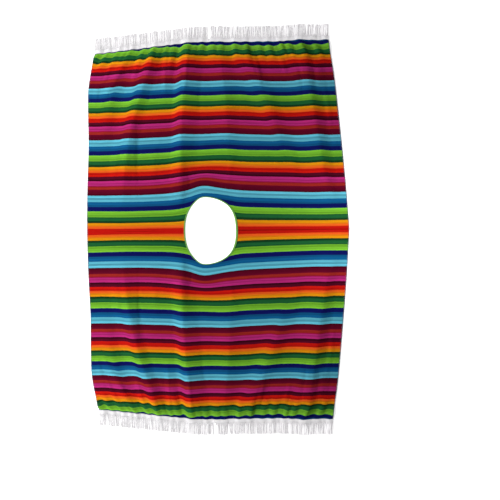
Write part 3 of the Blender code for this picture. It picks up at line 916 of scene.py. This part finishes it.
def yarnTree():
    # Two plies twisted round each other hang from each point and come down to the floor.
    inputs = {"Samples": ("NodeSocketInt", 14), "Ply": ("NodeSocketFloat", 0.0005),
              "Twist Radius": ("NodeSocketFloat", 0.00045), "Turns": ("NodeSocketFloat", 5.0),
              "Floor": ("NodeSocketFloat", 0.0012), "Material": ("NodeSocketMaterial", None)}
    tree, sheet, given = newTree("fringeYarn", inputs)
    line = sheet.node("GeometryNodeCurvePrimitiveLine", None, {"Start": (0, 0, 0), "End": (0, 1, 0)})
    line = sheet.node("GeometryNodeResampleCurve", None, {"Curve": line, "Count": given.output("Samples")})
    rootX, rootY, rootZ = sheet.separated(attribute(sheet, "root", "FLOAT_VECTOR"))
    alongX, alongY, _ = sheet.separated(attribute(sheet, "along", "FLOAT_VECTOR"))
    reach, lean, bow = attribute(sheet, "reach"), attribute(sheet, "lean"), attribute(sheet, "bow")
    share = sheet.node("GeometryNodeSplineParameter").output("Factor")
    drop = share * share * (3 - 2 * share)
    sideways = lean * share + bow * (share * math.pi).sine()
    plies = []
    for start in (0.0, math.pi):
        hung = sheet.node("GeometryNodeInstanceOnPoints", None, {"Points": given, "Instance": line})
        hung = sheet.node("GeometryNodeRealizeInstances", None, {0: hung})
        angle = share * given.output("Turns") * math.tau + attribute(sheet, "phase") + start
        aside = angle.cosine() * given.output("Twist Radius")
        lifted = angle.sine() * given.output("Twist Radius")
        spot = sheet.combined(
            X=rootX + alongX * reach * share + alongY * (sideways + aside),
            Y=rootY + alongY * reach * share - alongX * (sideways + aside),
            Z=rootZ * (1 - drop) + given.output("Floor") * drop + lifted)
        plies.append(sheet.node("GeometryNodeSetPosition", None, {"Geometry": hung, "Position": spot}))
    both = sheet.node("GeometryNodeJoinGeometry", None, {0: plies[0]})
    tree.links.new(plies[1].socket, both.socket.node.inputs[0])
    yarn = tube(sheet, both, given.output("Ply"), 5, **{"Fill Caps": True})
    return finishTree(tree, sheet, given, yarn)


stitchLine, overlockLoops, fringeYarn = stitchTree(), loopTree(), yarnTree()


def makeBindingStitches():
    length = math.tau * neck["halfLength"]
    count = int(length / binding["stitchPitch"])
    angles = np.arange(count) * math.tau / count
    angles = angles[bindingWidth(angles) > binding["stitchedFrom"]]
    edge, onto, up = neckEdge(angles)
    outer = cloth["thickness"] / 2 + binding["clearance"] + binding["leg"]
    spots = edge + onto * (bindingWidth(angles) - binding["stitchInset"])[:, None] + up * outer
    run = np.cross(up, onto)
    source = pointsObject("bindingStitchPoints", placed(spots), along=turnedOnly(run), up=turnedOnly(up))
    return grow("bindingStitches", source, stitchLine, "stitching", Length=binding["stitchLength"],
                Thread=binding["thread"], Arch=binding["stitchArch"])


bindingStitches = makeBindingStitches()
print("binding stitched")


# Overlocked side edges, one piece on each side of each panel.
overlock = dict(
    pitch=0.0021,
    depth=0.0019,
    height=0.0009,
    thread=0.00034,
    slant=0.55,
    inset=0.0009,
    clear=1.14,  # how far above the floor a loop is lifted, by its own lowest reach
)


def makeOverlock(name, end, side):
    count = int(cloth["lengthToTrim"] / overlock["pitch"])
    along = (np.arange(count) + 0.5) / count * cloth["lengthToTrim"]
    across = np.full(count, end * (cloth["halfWidth"] - overlock["inset"]))
    spots = skin(across, along, np.full(count, cloth["thickness"] / 2))
    run = underside(across, along + slopeStep) - underside(across, np.maximum(0, along - slopeStep))
    run = unit(run)
    up = upFrom(across, along)
    leaning = np.abs(overlock["slant"] * run[:, 2]) + np.abs(np.cross(up, run)[:, 2])
    lowest = np.hypot(overlock["depth"] * leaning, overlock["height"] * up[:, 2]) + overlock["thread"]
    spots[:, 2] = np.maximum(spots[:, 2], overlock["clear"] * lowest)
    source = pointsObject(name + "Points", placed(spots, side), along=turnedOnly(run, side),
                          up=turnedOnly(up, side))
    return grow(name, source, overlockLoops, "overlock", Depth=overlock["depth"], Height=overlock["height"],
                Thread=overlock["thread"], Slant=overlock["slant"])


overlocks = [
    makeOverlock(half + label + "Overlock", end, side)
    for half, side in (("back", 1), ("front", -1))
    for label, end in (("Left", -1), ("Right", 1))
]
print("sides overlocked")


# Fringe trim: a heading woven of the fringe's own yarn, two rows of stitches, and twisted yarns.
trim = dict(
    headingWidth=0.0125,
    headingThickness=0.0013,
    ribHeight=0.00022,
    yarnPitch=0.00192,
    ply=0.00074,
    twistRadius=0.00054,
    turns=5.5,
    samples=15,
    reach=0.0407,
    reachSpread=0.0016,
    group=(4, 9),  # yarns that hang together
    groupLean=0.0028,
    drawnTogether=0.09,
    lean=0.0011,
    bow=0.0012,
    split={1: -0.0097, -1: -0.0058},  # where the heading is cut across, at the back and in front
    splitGap=0.0003,
    clearOfSplit=0.0040,
    leanFromSplit=0.0022,
    leanReach=0.03,  # how far from the break the yarns still lean away
    rootInset=0.0008,  # under the heading's outer edge
    rootLift=0.0008,
    lift=0.0002,  # the heading above the cloth
    floorGap=0.0001,
    stitchLift=0.0004,
    stitchArch=0.0002,
    stitchRows=(0.0026, 0.0088),
    stitchPitch=0.0034,
    stitchLength=0.0026,
    thread=0.00026,
    seed=31,
)


def trimAcross(side, onLeft):
    if onLeft:
        return -cloth["halfWidth"], trim["split"][side] - trim["splitGap"]
    return trim["split"][side] + trim["splitGap"], cloth["halfWidth"]


def makeHeading(name, side, onLeft):
    start, end = trimAcross(side, onLeft)
    ribs = int((end - start) / trim["yarnPitch"])
    stations = ribs * 4 + 1
    across = np.linspace(start, end, stations)
    rib = np.abs(np.sin((across - start) / (end - start) * ribs * math.pi)) * trim["ribHeight"]
    low = cloth["thickness"] + trim["lift"]
    tall = trim["headingThickness"]
    inner, outer = cloth["lengthToTrim"], cloth["lengthToTrim"] + trim["headingWidth"]
    # The heading cut across: place along the cloth, then height as a share of its thickness.
    section = [(inner, 0.15), (inner + 0.0003, 0.75), (inner + 0.0012, 1.0), (inner + 0.0042, 1.0),
               (inner + 0.0078, 1.0), (outer - 0.0014, 1.0), (outer - 0.0003, 0.8), (outer, 0.4),
               (outer - 0.0003, 0.0), (inner + 0.0003, 0.0)]
    rings = []
    for along, share in section:
        lift = low + tall * share + (rib if share > 0.5 else 0 * rib)
        rings.append(skin(across, np.full(stations, along), lift))
    points = np.stack(rings, 1)
    corners = len(section)
    index = np.arange(stations * corners).reshape(stations, corners)
    a, b = index[:-1], index[1:]
    faces = np.stack([a, np.roll(a, -1, 1), np.roll(b, -1, 1), b], -1).reshape(-1, 4).tolist()
    faces += [index[0].tolist(), index[-1][::-1].tolist()]
    mesh = meshFrom(name, placed(points, side), faces)
    recalculate(mesh)
    return newObject(name, mesh, "white_trim")


def makeYarns(name, side, onLeft, seed):
    picker = np.random.default_rng(seed)
    start, end = trimAcross(side, onLeft)
    clear = trim["clearOfSplit"]
    start, end = (start, end - clear) if onLeft else (start + clear, end)
    count = int((end - start) / trim["yarnPitch"])
    across = start + (np.arange(count) + 0.5) / count * (end - start)
    outer = cloth["lengthToTrim"] + trim["headingWidth"] - trim["rootInset"]
    roots = skin(across, np.full(count, outer), np.full(count, cloth["thickness"] + trim["rootLift"]))
    roots = placed(roots, side)
    hanging = turnedOnly(np.tile([0.0, 1.0, 0.0], (count, 1)), side)
    lean, first = picker.uniform(-1, 1, count) * trim["lean"], 0
    while first < count:
        group = slice(first, first + picker.integers(*trim["group"]))
        shared = picker.uniform(-1, 1) * trim["groupLean"]
        lean[group] += shared + (across[group].mean() - across[group]) * trim["drawnTogether"]
        first = group.stop
    nearSplit = np.maximum(0, 1 - np.abs(across - trim["split"][side]) / trim["leanReach"])
    lean += (-1 if onLeft else 1) * nearSplit * trim["leanFromSplit"]
    source = pointsObject(
        name + "Points", roots, root=roots, along=hanging,
        reach=trim["reach"] + picker.uniform(-1, 1, count) * trim["reachSpread"],
        lean=lean * side,
        bow=picker.uniform(-1, 1, count) * trim["bow"],
        phase=picker.uniform(0, math.tau, count),
    )
    return grow(name, source, fringeYarn, "white_trim", Samples=trim["samples"], Ply=trim["ply"],
                Twist_Radius=trim["twistRadius"], Turns=trim["turns"],
                Floor=trim["ply"] + trim["twistRadius"] + trim["floorGap"])


def makeTrimStitches(name, side, onLeft):
    start, end = trimAcross(side, onLeft)
    count = int((end - start) / trim["stitchPitch"])
    across = np.tile(start + (np.arange(count) + 0.5) / count * (end - start), len(trim["stitchRows"]))
    along = cloth["lengthToTrim"] + np.repeat(trim["stitchRows"], count)
    lift = cloth["thickness"] + trim["stitchLift"] + trim["headingThickness"]
    spots = skin(across, along, np.full(len(across), lift))
    run = unit(underside(across + slopeStep, along) - underside(across - slopeStep, along))
    source = pointsObject(name + "Points", placed(spots, side), along=turnedOnly(run, side),
                          up=turnedOnly(upFrom(across, along), side))
    return grow(name, source, stitchLine, "white_trim", Length=trim["stitchLength"], Thread=trim["thread"],
                Arch=trim["stitchArch"])


trims = {}
for number, (node, side, onLeft) in enumerate([
        ("back_fringe_left", 1, True), ("back_fringe_right", 1, False),
        ("front_fringe_left", -1, True), ("front_fringe_right", -1, False)]):
    words = node.split("_")
    label = words[0] + words[2].capitalize()
    trims[node] = [
        makeHeading(label + "Heading", side, onLeft),
        makeYarns(label + "Yarns", side, onLeft, trim["seed"] + number),
        makeTrimStitches(label + "TrimStitches", side, onLeft),
    ]
print("fringe hung:", sum(len(p.data.polygons) for parts in trims.values() for p in parts), "faces")


# Everything lies on one body.
def dress(piece, slotName, *nodes):
    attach(piece, "root")
    if nodes:
        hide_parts(*nodes)


dress(backPanel, "striped_cloth", "back_panel")
dress(frontPanel, "striped_cloth", "front_panel")
dress(neckBinding, "green_binding", "neck_binding")
dress(bindingStitches, "green_binding")
for piece in overlocks:
    dress(piece, "white_trim")
for node, parts in trims.items():
    dress(parts[0], "white_trim", node)
    for piece in parts[1:]:
        dress(piece, "white_trim")


# Stage: a plain pale floor, soft light from the left, and a camera straight above as in the photo.
stage = dict(
    floorSize=24.0,
    floorBelow=0.0004,  # so that it shows no shared face with the underside
    floorColour="f6f6f6",
    floorGlow=0.66,  # a little light of its own, as a lit table has, for a ground as white as the photo's
    room=0.12,
    framed=1.695,  # metres across the picture
    seen=(0.1076, -0.0695),  # the picture's middle
    height=6.0,
    sensor=36.0,
)
lights = [
    dict(name="windowBehind", place=(-1.4, 0.95, 1.00), aim=(0, 0.28, 0), size=0.8, power=37.5),
    dict(name="windowInFront", place=(-1.4, -0.95, 1.00), aim=(0, -0.28, 0), size=0.8, power=38.5),
    dict(name="shoulderLight", place=(0.50, 0, 0.35), aim=(0.50, 0, 0), size=0.3, power=1.5),
]


def makeFloor():
    half = stage["floorSize"] / 2
    outline = [(-half, -half), (half, -half), (half, half), (-half, half)]
    mesh = bpy.data.meshes.new("floor")
    mesh.from_pydata([(x, y, -stage["floorBelow"]) for x, y in outline], [], [(0, 1, 2, 3)])
    floor = linked("floor", mesh)
    material, _, shader = newMaterial("paleFloor", sheen=0.0, specular=0.1)
    setInputs(shader, Base_Color=(*linearColour(stage["floorColour"]), 1), Roughness=0.9,
              Emission_Color=(1, 1, 1, 1), Emission_Strength=stage["floorGlow"])
    mesh.materials.append(material)


def aimed(thing, place, aim):
    thing.location = place
    thing.rotation_euler = (Vector(aim) - Vector(place)).to_track_quat("-Z", "Y").to_euler()


def makeLights():
    for look in lights:
        lamp = bpy.data.lights.new(look["name"], "AREA")
        lamp.shape, lamp.size, lamp.energy = "DISK", look["size"], look["power"]
        made = linked(look["name"], lamp)
        made.visible_camera = False
        aimed(made, look["place"], look["aim"])
    world = bpy.data.worlds.new("paleRoom")
    bpy.context.scene.world = world
    world.use_nodes = True
    setInputs(world.node_tree.nodes["Background"], Color=(1, 1, 1, 1), Strength=stage["room"])


def makeCamera():
    data = bpy.data.cameras.new("photoCamera")
    data.sensor_width = stage["sensor"]
    data.lens = stage["sensor"] * stage["height"] / stage["framed"]
    data.clip_end = 50
    camera = linked("photoCamera", data)
    camera.location = (*stage["seen"], stage["height"])
    bpy.context.scene.camera = camera


makeFloor()
makeLights()
makeCamera()
bpy.context.scene.view_settings.view_transform = "Standard"
print("stage set")
